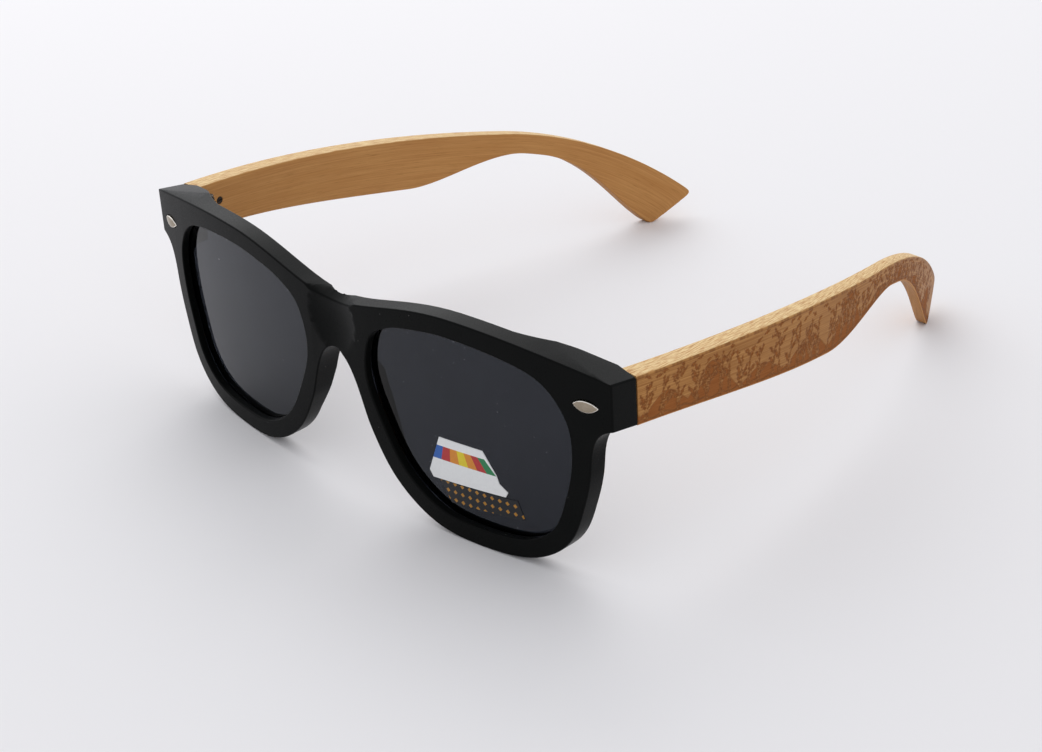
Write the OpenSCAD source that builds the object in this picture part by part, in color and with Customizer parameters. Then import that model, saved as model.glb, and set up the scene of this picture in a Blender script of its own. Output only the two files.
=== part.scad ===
// Sunglasses with a black front, tinted lenses and two bowed bamboo temples.
// Everything is drawn as worn, with the front upright and facing minus Y.
// The whole part is then tipped so that it stands on its rims and temple tips.
// Left and right are the wearer's own, so left is plus X.

/* [Front] */
// Width of each lens opening
lens_w = 51.3; // [47:0.5:54]
// Height of each lens opening
lens_h = 42.3; // [38:0.2:46]
// Gap between the two lens openings
bridge_gap = 18.9; // [17:0.1:23]
// Width of the rim around the lens
rim_w = 4.2; // [3.6:0.1:5.2]
// Width of the rim beside the nose
nose_rim_w = 4.4; // [3:0.1:5]
// Thickness of the rim from front to back
rim_t = 4.2; // [3.9:0.1:5.4]
// Radius of the bend across the front
wrap_r = 264; // [220:1:400]
// Height of the bridge
bridge_h = 11.6; // [9:0.1:14]
// Drop from the top of the rims to the top of the bridge
bridge_dip = 5.2; // [4:0.1:8]
// Depth of the hollow in the face of the bridge
bridge_hollow = 1.3; // [1:0.1:1.8]
// Depth of the hollow behind the bridge
bridge_relief = 0.9; // [0.4:0.1:1.2]
// How far the nose pads stand out behind the rim
pad_reach = 1.8; // [1:0.1:4]

/* [End pieces] */
// Reach of an end piece beyond the lens opening
end_w = 9.25; // [9:0.05:12]
// Height of an end piece at its outer edge
end_h = 10.3; // [9.8:0.1:12.5]
// Drop from the top of the rims to the top of an end piece
end_dip = 4.4; // [3.5:0.1:6]
// How far the rear face of an end piece lies behind the front of the bridge
end_reach = 16.4; // [15.5:0.1:19]
// Downward slope of an end piece toward the temple in degrees
end_slope = 10.5; // [5:0.5:13]

/* [Lenses] */
// Thickness of a lens
lens_t = 1.3; // [1:0.1:1.4]
// How far the lens face lies behind the rim face
lens_set = 1.9; // [1.2:0.1:2]
// Depth of the groove that holds the lens
groove = 0.7; // [0.4:0.1:1]
// Clearance around a lens in its groove
lens_clear = 0.03; // [0.02:0.01:0.08]
// Thickness of the sticker and of the film on the lens
film_t = 0.12; // [0.08:0.01:0.3]

/* [Studs] */
// Length of a stud
stud_l = 5.8; // [4:0.1:7]
// Width of a stud
stud_w = 2.5; // [1.5:0.1:3]
// How far a stud stands out of the front
stud_rise = 0.45; // [0.2:0.05:0.8]
// Diameter of the two pins behind a stud
stud_pin_d = 0.9; // [0.6:0.1:1.2]

/* [Temples] */
// Length of a temple along its top edge
temple_l = 146; // [135:1:155]
// Thickness of a temple at the hinge
temple_t = 4.9; // [4:0.1:6]
// Thickness of a temple at its tip
tip_t = 2.5; // [2:0.1:4]
// Height of a temple at the hinge
temple_h = 10.7; // [9:0.1:12]
// Height of a temple at its widest place before the ear
belly_h = 12.8; // [10:0.1:14]
// Height of a temple where it passes over the ear
neck_h = 5.1; // [4.5:0.1:8]
// Height of a temple at its tip
tip_h = 12.5; // [8:0.1:14]
// Downward slope of a temple at the hinge in degrees
temple_slope = 5.5; // [4:0.1:9]
// Radius of the long curve of the top edge before the ear
back_r = 640; // [450:5:900]
// Length of the top edge before it bends over the ear
ear_at = 91; // [84:1:96]
// Radius of the bend over the ear
ear_r = 95.5; // [85:0.5:120]
// Distance along the top edge at which a temple is highest
belly_at = 60; // [50:1:68]
// Distance along the top edge at which a temple is lowest
neck_at = 100; // [92:1:108]
// How much shorter the lower edge of the tip is than the upper one
tip_slant = 2.2; // [0:0.1:8]
// Radius to which a temple is bowed seen from above
bow_r = 235; // [225:1:300]
// Distance behind the end piece at which the temples stand widest
bow_at = 20.4; // [12:0.1:24]

/* [Hinges] */
// Outer diameter of the hinge knuckles
knuckle_d = 2.5; // [2.2:0.1:2.8]
// Height of the hinge from end to end
hinge_h = 5.2; // [5:0.1:6.6]
// Height of the temple knuckle in the middle
middle_h = 2.3; // [1.6:0.1:3]
// Diameter of the hinge screw
screw_d = 1.2; // [0.9:0.1:1.4]
// Length of the temple leaf
leaf_l = 9.4; // [8.8:0.1:10.5]
// Height of the temple leaf
leaf_h = 4.8; // [4:0.1:5.4]
// Thickness of the temple leaf
leaf_t = 0.9; // [0.7:0.1:1.1]
// Shank diameter of the leaf screw
fixing_d = 0.9; // [0.7:0.1:1.1]
// Clearance of a part that is fixed in its seat
seat_clear = 0.02; // [0.01:0.01:0.05]
// Clearance of the temple knuckle around the hinge screw
run_clear = 0.04; // [0.02:0.01:0.08]
// Gap between an open temple and its end piece
butt_gap = 0.1; // [0.05:0.05:0.3]

/* [Hidden] */
$fn = 64;
curve_steps = 7;
bend_steps = 14;
edge_steps = 44;
lens_x = bridge_gap / 2 + lens_w / 2;
lens_z = rim_w + lens_h / 2;
half_w = bridge_gap / 2 + lens_w + end_w;
brow_z = lens_h + 2 * rim_w;
bridge_z = brow_z - bridge_dip;
arch_z = bridge_z - bridge_h;
end_z = brow_z - end_dip;
end_low_z = end_z - end_h;

function face_y(x) = wrap_r - sqrt(wrap_r * wrap_r - x * x);

end_front_y = face_y(half_w);

// Length of the cutting tools, which always pass right through.
reach = lens_h;

// Shape of a lens opening, clockwise from the top, with minus one and one as its sides.
lens_shape = [
    [-0.069, 1],
    [0.416, 0.952],
    [0.76, 0.821],
    [0.965, 0.497],
    [1, 0.088],
    [0.93, -0.35],
    [0.802, -0.731],
    [0.532, -0.948],
    [0.105, -1],
    [-0.295, -0.94],
    [-0.632, -0.668],
    [-0.857, -0.232],
    [-1, 0.238],
    [-0.928, 0.686],
    [-0.702, 0.881],
    [-0.413, 0.963]
];

function ease(t) = let (u = min(1, max(0, t))) u * u * (3 - 2 * u);

function bezier(a, b, c, d, n) = [
    for (i = [0 : n - 1])
        let (t = i / n, s = 1 - t)
        s * s * s * a + 3 * s * s * t * b + 3 * s * t * t * c + t * t * t * d
];

function spline(p, i, t) =
    let (
        n = len(p),
        a = p[(i + n - 1) % n],
        b = p[i % n],
        c = p[(i + 1) % n],
        d = p[(i + 2) % n]
    )
    0.5 * (2 * b + t * (c - a) + t * t * (2 * a - 5 * b + 4 * c - d) + t * t * t * (3 * b - a - 3 * c + d));

lens_curve = [
    for (i = [0 : len(lens_shape) - 1])
        for (j = [0 : curve_steps - 1])
            let (p = spline(lens_shape, i, j / curve_steps))
            [lens_x + p.x * lens_w / 2, lens_z + p.y * lens_h / 2]
];
count = len(lens_curve);

lens_outward = [
    for (i = [0 : count - 1])
        let (t = lens_curve[(i + 1) % count] - lens_curve[(i + count - 1) % count])
        [-t.y, t.x] / norm(t)
];

function grown_lens(by) = [for (i = [0 : count - 1]) lens_curve[i] + by * lens_outward[i]];

function rim_point(i) =
    let (n = lens_outward[i])
    lens_curve[i] + n * (rim_w - (rim_w - nose_rim_w) * pow(max(0, -n.x), 2));

// Handles of the curves along the brow, the end piece and its waist.
brow_shift = 1.8;
brow_run = 11;
end_run = 12;
end_lift = 2.5;
corner_run = 2.8;
corner_drop = 0.9;
waist_out = 0.5;
waist_drop = 2;

// Outline of the left half of the front, from the bridge top round to the nose arch.
rim_first = 4 * curve_steps;
rim_last = 11 * curve_steps;
rim_start = rim_point(rim_first);
rim_end = rim_point(rim_last);
nose_lead = rim_end - rim_point(rim_last - 1);
half_outline = concat(
    bezier([0, bridge_z], [lens_x * 0.27, bridge_z], [lens_x * 0.56, brow_z], [lens_x - brow_shift, brow_z], bend_steps),
    bezier(
        [lens_x - brow_shift, brow_z],
        [lens_x + brow_run, brow_z],
        [half_w - end_run, end_z + end_lift],
        [half_w, end_z],
        bend_steps
    ),
    [[half_w, end_z]],
    bezier(
        [half_w, end_low_z],
        [half_w - corner_run, end_low_z - corner_drop],
        [rim_start.x + waist_out, end_low_z - waist_drop],
        rim_start,
        bend_steps
    ),
    [for (i = [rim_first : rim_last - 1]) rim_point(i)],
    bezier(
        rim_end,
        rim_end + nose_lead * 3,
        [bridge_gap * 0.29, arch_z],
        [0, arch_z],
        bend_steps
    )
);
half_count = len(half_outline);
front_outline = concat(
    half_outline,
    [[0, arch_z]],
    [for (i = [half_count - 1 : -1 : 1]) [-half_outline[i].x, half_outline[i].y]]
);

// Side view of a temple, with its top edge measured from the hinge end.
temple_y = end_reach + butt_gap;
temple_drop = 1.1;
temple_z = end_z - temple_drop;
tip_round = 3.4;
belly_run = 4;
neck_run = 3;

function degrees_of(length, radius) = length / radius * 180 / PI;

ear_angle = temple_slope + degrees_of(ear_at, back_r);

function top_angle(s) =
    s < ear_at
    ? temple_slope + degrees_of(s, back_r)
    : ear_angle + degrees_of(s - ear_at, ear_r);

function top_point(s) =
    let (
        a = top_angle(s),
        b = min(a, ear_angle)
    )
    [
        temple_y + back_r * (sin(b) - sin(temple_slope)) + ear_r * (sin(a) - sin(b)),
        temple_z - back_r * (cos(temple_slope) - cos(b)) - ear_r * (cos(b) - cos(a))
    ];

function down(s) = [-sin(top_angle(s)), -cos(top_angle(s))];

function temple_height(s) =
    temple_h
    + (belly_h - temple_h) * ease(s / belly_at)
    + (neck_h - belly_h) * ease((s - belly_at - belly_run) / (neck_at - belly_at - belly_run - neck_run))
    + (tip_h - neck_h) * ease((s - neck_at - neck_run) / (temple_l - neck_at - 2 * neck_run));

function low_point(s) = top_point(s) + down(s) * temple_height(s);

low_l = temple_l - tip_slant;
tip_top = top_point(temple_l);
tip_low = low_point(low_l);
tip_edge = (tip_low - tip_top) / norm(tip_low - tip_top);
temple_outline = concat(
    [top_point(-tip_round)],
    [for (i = [0 : edge_steps]) top_point((temple_l - tip_round) * i / edge_steps)],
    bezier(
        top_point(temple_l - tip_round),
        tip_top,
        tip_top,
        tip_top + tip_edge * tip_round,
        bend_steps
    ),
    bezier(
        tip_low - tip_edge * tip_round,
        tip_low,
        tip_low,
        low_point(low_l - tip_round),
        bend_steps
    ),
    [for (i = [edge_steps : -1 : 0]) low_point((low_l - tip_round) * i / edge_steps)]
);

// Bow of the temples seen from above.
bow_y = end_reach + bow_at;
bow_x = half_w - sqrt(pow(bow_r + temple_t / 2, 2) - bow_at * bow_at);

// The end piece meets the temple on a plane that is square to the temple.
butt_angle = asin(bow_at / (bow_r + temple_t / 2));

function butt_y(x) = end_reach + (half_w - x) * tan(butt_angle);

// The inner face is a like arc, swung outward about the joint, so the temple thins toward its tip.
taper = asin((temple_t - tip_t) / (tip_top[0] - end_reach));
joint_in = [half_w - temple_t * cos(butt_angle), end_reach + temple_t * sin(butt_angle)];
inner_r = bow_r - temple_t / 2;
inner_mid = [
    joint_in[0] - inner_r * cos(butt_angle + taper),
    joint_in[1] + inner_r * sin(butt_angle + taper)
];

function inner_face_x(y) = inner_mid[0] + sqrt(pow(inner_r, 2) - pow(y - inner_mid[1], 2));

// Place of the hinge pin and of the leaf on the temple.
knuckle_gap = 0.25;
knuckle_in = temple_t + knuckle_gap + knuckle_d / 2;
knuckle_back = knuckle_d / 2 + knuckle_gap;
hinge_x = half_w - knuckle_in * cos(butt_angle) + knuckle_back * sin(butt_angle);
hinge_y = end_reach + knuckle_in * sin(butt_angle) + knuckle_back * cos(butt_angle);
hinge_drop = 1.3;
hinge_z = end_low_z + end_h / 2 - hinge_drop;
low_z = hinge_z - hinge_h / 2;
knuckle_space = 0.05;
outer_h = (hinge_h - middle_h) / 2 - knuckle_space;
leaf_start = -1.1;
leaf_mid_y = hinge_y + leaf_l / 2 + leaf_start;
leaf_angle = asin((inner_mid[1] - leaf_mid_y) / inner_r);
leaf_face = (inner_face_x(leaf_mid_y) - hinge_x) * cos(leaf_angle)
    - (leaf_mid_y - hinge_y) * sin(leaf_angle);
leaf_cover = 0.9;
leaf_back = leaf_face + leaf_cover + leaf_t;
web_start = 0.4;
slot_lead = 3;
notch_room = 0.3;
drive_w = 0.26;
fixing_head_d = fixing_d * 2;
fixing_head_h = 0.5;
fixing_sink = 0.05;
fixing_l = 1.1;
fixing_at = 4.4;

// Foot of the hinge in the end piece.
foot_w = 2.8;
foot_d = 2.8;
foot_in = knuckle_in + foot_w - knuckle_d / 2;
knuckle_trim = 0.1;
arm_w = knuckle_d - knuckle_trim;
web_h = middle_h - knuckle_trim;

// Block behind the rim that carries the hinge, with a rounded shoulder on its inner side.
block_start = 10;
block_end = 11;
shoulder_run = 7.4;
shoulder_rise = 2.2;
shoulder_bend = 3.5;
shoulder_round = 0.9;
shoulder_lead = 1.75;
block_in = lens_x + block_start;
block_out = half_w - block_end;
shoulder_end = end_reach - shoulder_lead;
temple_in = half_w - temple_t;
block_drop = 8;
block_lead = 2.5;
rear_drop = 1.5;
rear_run = 4;
web_run = 2;
skirt_w = 3.4;
skirt_h = 3;

// Nose pads behind the rims, measured from the nose arch.
pad_low = 22;
pad_run = 12.5;
pad_top = 4;
pad_end = 0.6;
pad_in = 2.4;
pad_out = 6;

// Hollow across the front of the bridge.
scoop_w = bridge_gap * 0.425;
scoop_drop = bridge_h * 0.4;
scoop_r = (pow(scoop_w, 2) + pow(bridge_hollow, 2)) / (2 * bridge_hollow);
relief_h = bridge_h + 8;
relief_r = 8;

// Saddle on top of the bridge that falls toward the front.
saddle_r = 16;
saddle_l = 30;
saddle_angle = 22;

// Stud on the front of an end piece.
stud_in = 5.6;
stud_drop = 5.85;
stud_x = half_w - stud_in;
stud_z = end_z - stud_drop;
stud_angle = asin(stud_x / wrap_r);
stud_sink = 0.4;
stud_pin_l = 1.7;
stud_pin_at = stud_l * 0.2;
stud_arc_r = (stud_l * stud_l + stud_w * stud_w) / (4 * stud_w);
stud_dome_r = (stud_l * stud_l / 4 + stud_rise * stud_rise) / (2 * stud_rise);

// Sticker and film, measured on the face of the left lens.
sticker_outline = [
    [lens_x - 8.05, lens_z - 3.8],
    [lens_x + 3.1, lens_z - 3.45],
    [lens_x + 6.3, lens_z - 8.3],
    [lens_x + 6.9, lens_z - 10],
    [lens_x + 8.9, lens_z - 11.4],
    [lens_x + 8.25, lens_z - 12.65],
    [lens_x - 10.45, lens_z - 14.05],
    [lens_x - 11.3, lens_z - 12.55]
];
film_outline = [
    [lens_x - 8.5, lens_z - 14.1],
    [lens_x + 11.2, lens_z - 12.6],
    [lens_x + 12.7, lens_z - 16.75],
    [lens_x - 5.9, lens_z - 18.7]
];

// Angle at which the part stands on the lowest points of its rims and its temple tips.
rim_feet = [
    for (i = [rim_first : rim_last])
        let (p = rim_point(i))
        [face_y(p.x), p.y]
];

function stand_height(p, a) = p.x * sin(a) + p.y * cos(a);

function lowest(points, a) =
    let (
        h = [for (p = points) stand_height(p, a)],
        m = min(h)
    )
    points[search(m, h)[0]];

function level(a) =
    let (
        r = lowest(rim_feet, a),
        t = lowest(temple_outline, a)
    )
    atan2(r.y - t.y, t.x - r.x);

lean = level(level(level(2)));
floor_drop = stand_height(lowest(rim_feet, lean), lean);
rear_most = max([for (p = temple_outline) p.x * cos(lean) - p.y * sin(lean)]);
lean_front = min([
    for (p = half_outline)
        face_y(p.x) * cos(lean) - p.y * sin(lean)
]);
middle_y = (lean_front + rear_most) / 2;

// Tips the part from its worn place on to the floor.
module standing() {
    translate([0, -middle_y, -floor_drop])
        rotate([lean, 0, 0])
            children();
}

module right_side() {
    mirror([1, 0, 0])
        children();
}

// Solid with the given outline seen from the front.
module front_prism(points, back) {
    translate([0, back, 0])
        rotate([90, 0, 0])
            linear_extrude(back + rim_t)
                polygon(points);
}

// Solid with the given outline seen from the side, between two places across.
module side_prism(points, from, to) {
    translate([from, 0, 0])
        rotate([90, 0, 90])
            linear_extrude(to - from)
                polygon(points);
}

// Everything more than the given depth behind the bent front face.
module behind_face(depth) {
    translate([0, wrap_r, -reach])
        cylinder(r = wrap_r - depth, h = 3 * reach, $fn = 360);
}

module bent_layer(from, to) {
    difference() {
        behind_face(from);
        behind_face(to);
    }
}

// Extra depth behind the rim that carries the hinge and the temple.
module end_block() {
    shoulder_y = face_y(block_in) + rim_t;
    intersection() {
        translate([0, 0, -reach])
            linear_extrude(3 * reach)
                polygon(concat(
                    [[block_in, 0]],
                    bezier(
                        [block_in, shoulder_y],
                        [block_in + shoulder_run, shoulder_y + shoulder_rise],
                        [block_out - shoulder_bend, shoulder_end - shoulder_round],
                        [block_out, shoulder_end],
                        bend_steps
                    ),
                    [
                        [temple_in, butt_y(temple_in) + butt_gap / 2],
                        [temple_in, end_reach + rear_run],
                        [half_w + rear_run, end_reach + rear_run],
                        [half_w + rear_run, 0]
                    ]
                ));
        side_prism(
            [
                [0, end_low_z - block_drop],
                [rim_t + block_lead, end_low_z - block_drop],
                [end_reach - rear_run, end_low_z - rear_drop],
                [end_reach + rear_run, end_low_z - rear_drop],
                [end_reach + rear_run, brow_z + block_drop],
                [0, brow_z + block_drop]
            ],
            0,
            half_w + block_drop
        );
    }
}

// Places what is drawn at the origin on the plane where the end piece meets the temple.
module at_butt() {
    translate([half_w, end_reach, 0])
        rotate([0, 0, -butt_angle])
            children();
}

// Everything that lies behind the end piece.
module behind_end(gap) {
    at_butt()
        translate([-2 * lens_x, gap, -reach])
            cube([4 * lens_x, 2 * temple_l, 3 * reach]);
}

// Lower part of an end piece that slopes down to the temple.
module end_skirt() {
    skirt_drop = (end_reach + rear_run - end_front_y) * tan(end_slope);
    side_prism(
        [
            [end_front_y, end_low_z],
            [end_reach + rear_run, end_low_z - skirt_drop],
            [end_reach + rear_run, end_low_z + skirt_h],
            [end_front_y, end_low_z + skirt_h]
        ],
        half_w - skirt_w,
        half_w
    );
}

module nose_pad() {
    low_end = arch_z - pad_low;
    side_prism(
        [
            [0, low_end],
            [rim_t, low_end],
            [rim_t + pad_reach, low_end + pad_run],
            [rim_t + pad_reach, arch_z - pad_top],
            [rim_t, arch_z - pad_end],
            [0, arch_z - pad_end]
        ],
        pad_in,
        lens_x - pad_out
    );
}

// Bowl in the front of the bridge, as wide as the bridge at the top and narrow at the nose.
module bridge_scoop() {
    translate([0, bridge_hollow - scoop_r, bridge_z - scoop_drop])
        sphere(r = scoop_r);
}

// Saddle across the top of the bridge, from its back edge down to the hollow.
module bridge_saddle() {
    translate([0, rim_t - bridge_relief, bridge_z])
        rotate([90 + saddle_angle, 0, 0])
            translate([0, saddle_r, -saddle_l / 2])
                cylinder(r = saddle_r, h = saddle_l);
}

// Hollow behind the bridge, between the nose pads.
module bridge_back() {
    translate([0, rim_t - bridge_relief + relief_r, arch_z - pad_end])
        cylinder(r = relief_r, h = relief_h);
}

// Slope on top of an end piece that runs on into the temple.
module end_top_cut() {
    translate([half_w, end_front_y, end_z])
        rotate([-end_slope, 0, 0])
            rotate([0, 11.3, 0])
                translate([-lens_x, -reach, 0])
                    cube([2 * lens_x, 2 * reach, reach]);
}

// Places what is drawn at the origin, facing minus Y, on the end piece for the stud.
module at_stud() {
    translate([0, wrap_r, stud_z])
        rotate([0, 0, stud_angle])
            translate([0, -wrap_r, 0])
                children();
}

module stud_solid(grow) {
    rotate([90, 0, 0])
        translate([0, 0, -stud_sink])
            linear_extrude(stud_sink + stud_rise)
                intersection() {
                    translate([0, stud_arc_r - stud_w / 2])
                        circle(stud_arc_r + grow);
                    translate([0, stud_w / 2 - stud_arc_r])
                        circle(stud_arc_r + grow);
                }
}

module stud_pins(grow) {
    for (s = [-1, 1])
        translate([s * stud_pin_at, stud_sink - 0.1, 0])
            rotate([-90, 0, 0])
                cylinder(d = stud_pin_d + 2 * grow, h = stud_pin_l + 0.1 + grow);
}

module lens_solid(grow, deep) {
    intersection() {
        front_prism(grown_lens(groove + grow), reach);
        bent_layer(lens_set - deep, lens_set + lens_t + deep);
    }
}

module hinge_foot(grow) {
    at_butt()
        translate([-foot_in - grow, -foot_d - grow, low_z - grow])
            cube([foot_w + 2 * grow, foot_d + 2 * grow, hinge_h + 2 * grow]);
}

// Everything cut out of the left half of the front.
module left_front_cuts() {
    front_prism(lens_curve, reach);
    lens_solid(lens_clear, lens_clear);
    end_top_cut();
    hinge_foot(seat_clear);
    behind_end(0);
    at_stud() {
        stud_solid(seat_clear);
        stud_pins(seat_clear);
    }
}

module front_frame() {
    color([0.04, 0.04, 0.045])
        standing()
            difference() {
                union() {
                    difference() {
                        intersection() {
                            front_prism(front_outline, end_reach + rear_run);
                            behind_face(0);
                        }
                        difference() {
                            behind_face(rim_t);
                            end_block();
                            nose_pad();
                            right_side() {
                                end_block();
                                nose_pad();
                            }
                        }
                        bridge_scoop();
                        bridge_saddle();
                        bridge_back();
                    }
                    end_skirt();
                    right_side()
                        end_skirt();
                }
                left_front_cuts();
                right_side()
                    left_front_cuts();
            }
}

module lens() {
    color([0.1, 0.1, 0.12])
        lens_solid(0, 0);
}

module lens_left() {
    standing()
        lens();
}

module lens_right() {
    standing()
        right_side()
            lens();
}

module lens_sticker() {
    color([0.86, 0.86, 0.86])
        standing()
            intersection() {
                front_prism(sticker_outline, reach);
                bent_layer(lens_set - film_t, lens_set);
            }
}

module lens_film() {
    color([0.6, 0.6, 0.62])
        standing()
            intersection() {
                front_prism(film_outline, reach);
                bent_layer(lens_set - film_t, lens_set);
            }
}

// Almond shaped metal stud with a domed face and two pins.
module stud() {
    color([0.75, 0.74, 0.72])
        at_stud() {
            intersection() {
                stud_solid(0);
                translate([0, stud_dome_r - stud_rise, 0])
                    sphere(r = stud_dome_r, $fn = 96);
            }
            stud_pins(0);
        }
}

module stud_left() {
    standing()
        stud();
}

module stud_right() {
    standing()
        right_side()
            stud();
}

module pin_bore(clear) {
    translate([hinge_x, hinge_y, low_z - 2])
        cylinder(d = screw_d + 2 * clear, h = hinge_h + 4);
}

// Metal foot sunk in the end piece, with an upper and a lower knuckle.
module front_hinge() {
    color([0.62, 0.6, 0.56])
        difference() {
            union() {
                hinge_foot(0);
                for (z = [low_z, low_z + hinge_h - outer_h]) {
                    translate([hinge_x, hinge_y, z])
                        cylinder(d = knuckle_d, h = outer_h);
                    at_butt()
                        translate([-knuckle_in - arm_w / 2, -foot_d / 2, z + knuckle_trim / 2])
                            cube([arm_w, foot_d / 2 + knuckle_back, outer_h - knuckle_trim]);
                }
            }
            pin_bore(seat_clear);
        }
}

module front_hinge_left() {
    standing()
        front_hinge();
}

module front_hinge_right() {
    standing()
        right_side()
            front_hinge();
}

// Slotted screw that is the pin of the hinge.
module hinge_screw() {
    head_d = screw_d * 1.9;
    head_h = 0.7;
    top_z = low_z + hinge_h;
    color([0.7, 0.69, 0.67])
        difference() {
            union() {
                translate([hinge_x, hinge_y, low_z - 0.2])
                    cylinder(d = screw_d, h = hinge_h + 0.3);
                translate([hinge_x, hinge_y, top_z])
                    cylinder(d = head_d, h = head_h);
            }
            translate([hinge_x - head_d, hinge_y - 0.17, top_z + head_h - 0.35])
                cube([2 * head_d, 0.34, 1]);
        }
}

module hinge_screw_left() {
    standing()
        hinge_screw();
}

module hinge_screw_right() {
    standing()
        right_side()
            hinge_screw();
}

// Turns what is drawn along plus Y to lie along the inner face of the temple.
module at_leaf() {
    translate([hinge_x, hinge_y, hinge_z])
        rotate([0, 0, -leaf_angle])
            children();
}

module leaf_plate(grow) {
    translate([leaf_back - leaf_t, leaf_start - grow, -leaf_h / 2 - grow])
        cube([leaf_t, leaf_l + 2 * grow, leaf_h + 2 * grow]);
}

// Slot in the end of the temple for the leaf, with a notch for the web of the knuckle.
module leaf_slot() {
    at_leaf() {
        translate([leaf_back - leaf_t - seat_clear, -slot_lead, -leaf_h / 2 - seat_clear])
            cube([
                leaf_t + 2 * seat_clear,
                slot_lead + leaf_start + leaf_l + seat_clear,
                leaf_h + 2 * seat_clear
            ]);
        translate([leaf_back - 2 * slot_lead, -slot_lead, -middle_h / 2 - notch_room])
            cube([2 * slot_lead, slot_lead + web_run + notch_room, middle_h + 2 * notch_room]);
    }
}

module fixing_place() {
    at_leaf()
        translate([leaf_face + fixing_sink, fixing_at, 0])
            rotate([0, 90, 0])
                children();
}

module fixing(grow) {
    cylinder(d = fixing_d + 2 * grow, h = leaf_cover + leaf_t + fixing_l + grow);
    cylinder(d = fixing_head_d + 2 * grow, h = fixing_head_h + grow);
}

// Metal leaf in a slot in the end of the temple, with one middle knuckle.
module temple_hinge() {
    color([0.62, 0.6, 0.56])
        difference() {
            union() {
                translate([hinge_x, hinge_y, hinge_z - middle_h / 2])
                    cylinder(d = knuckle_d, h = middle_h);
                at_leaf() {
                    leaf_plate(0);
                    translate([0, web_start, -web_h / 2])
                        cube([leaf_back, web_run - web_start, web_h]);
                }
            }
            pin_bore(run_clear);
            fixing_place()
                fixing(seat_clear);
        }
}

module temple_hinge_left() {
    standing()
        temple_hinge();
}

module temple_hinge_right() {
    standing()
        right_side()
            temple_hinge();
}

// Small slotted screw through the inner face of the temple that locks the leaf.
module leaf_screw() {
    color([0.2, 0.17, 0.15])
        fixing_place()
            difference() {
                fixing(0);
                translate([-drive_w / 2, -fixing_head_d, -1])
                    cube([drive_w, 2 * fixing_head_d, 1 + fixing_head_h / 2]);
            }
}

module leaf_screw_left() {
    standing()
        leaf_screw();
}

module leaf_screw_right() {
    standing()
        right_side()
            leaf_screw();
}

// Bowed bamboo temple that thins toward its tip, cut to its side view.
module temple() {
    color([0.8, 0.6, 0.36])
        difference() {
            intersection() {
                side_prism(temple_outline, 0, 2 * half_w);
                difference() {
                    translate([bow_x, bow_y, -reach])
                        cylinder(r = bow_r + temple_t / 2, h = 3 * reach, $fn = 360);
                    translate([inner_mid[0], inner_mid[1], -reach])
                        cylinder(r = inner_r, h = 3 * reach, $fn = 360);
                }
                behind_end(butt_gap);
            }
            leaf_slot();
            fixing_place() {
                fixing(seat_clear);
                translate([0, 0, -slot_lead])
                    cylinder(d = fixing_head_d + 2 * seat_clear, h = slot_lead + fixing_head_h / 2);
            }
        }
}

module temple_left() {
    standing()
        temple();
}

module temple_right() {
    standing()
        right_side()
            temple();
}

front_frame();
lens_left();
lens_right();
lens_sticker();
lens_film();
stud_left();
stud_right();
front_hinge_left();
front_hinge_right();
hinge_screw_left();
hinge_screw_right();
temple_left();
temple_right();
temple_hinge_left();
temple_hinge_right();
leaf_screw_left();
leaf_screw_right();
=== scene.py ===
# %% [markdown]
# Sunglasses with bamboo temples.
# The imported model comes in first and stays as it is: it gives every piece its place and size.

# %% Load the imported model
import math
import random

import bpy
import numpy as np
from mathutils import Matrix, Vector


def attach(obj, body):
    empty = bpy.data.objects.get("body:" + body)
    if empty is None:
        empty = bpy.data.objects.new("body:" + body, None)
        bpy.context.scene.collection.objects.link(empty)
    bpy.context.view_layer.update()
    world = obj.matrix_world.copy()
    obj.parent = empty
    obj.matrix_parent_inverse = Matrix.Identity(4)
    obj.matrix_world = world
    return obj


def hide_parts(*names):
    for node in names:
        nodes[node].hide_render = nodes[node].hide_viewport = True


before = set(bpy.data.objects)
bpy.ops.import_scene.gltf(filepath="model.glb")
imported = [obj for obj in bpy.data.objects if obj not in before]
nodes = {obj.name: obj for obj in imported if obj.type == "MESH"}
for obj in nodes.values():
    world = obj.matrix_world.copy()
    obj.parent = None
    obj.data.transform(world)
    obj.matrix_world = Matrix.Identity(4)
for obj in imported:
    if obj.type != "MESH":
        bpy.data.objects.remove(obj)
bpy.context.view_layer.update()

MM = 0.001

# %% [markdown]
# Three small helpers serve every step below.
# The first turns a written colour into the linear values that a shader works with.
# The second adds one node with its settings and links, so that each material reads as a short list.
# The third makes one object the only selected one, because an operator acts on all that is selected.


# %% Helpers
def linear(hex_colour):
    channels = [int(hex_colour[i:i + 2], 16) / 255 for i in (1, 3, 5)]
    bent = [c / 12.92 if c <= 0.04045 else ((c + 0.055) / 1.055) ** 2.4 for c in channels]
    return (*bent, 1.0)


def add(tree, kind, inputs=None, **settings):
    made = tree.nodes.new(kind)
    for name, value in settings.items():
        setattr(made, name, value)
    for socket, value in (inputs or {}).items():
        if isinstance(value, bpy.types.NodeSocket):
            tree.links.new(value, made.inputs[socket])
        else:
            made.inputs[socket].default_value = value
    return made


def only(piece):
    bpy.ops.object.select_all(action="DESELECT")
    piece.select_set(True)
    bpy.context.view_layer.objects.active = piece


print("a mid grey is", round(linear("#808080")[0], 3), "in linear light")

# %% [markdown]
# The camera stands in front of the wearer's left side and looks down on the glasses.
# Its angles, distance and lens were found by laying traced edges of the picture over the model.
# A camera that is only aimed at a point would stand level. This one is built from its three axes,
# so that its slight roll is kept.

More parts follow.
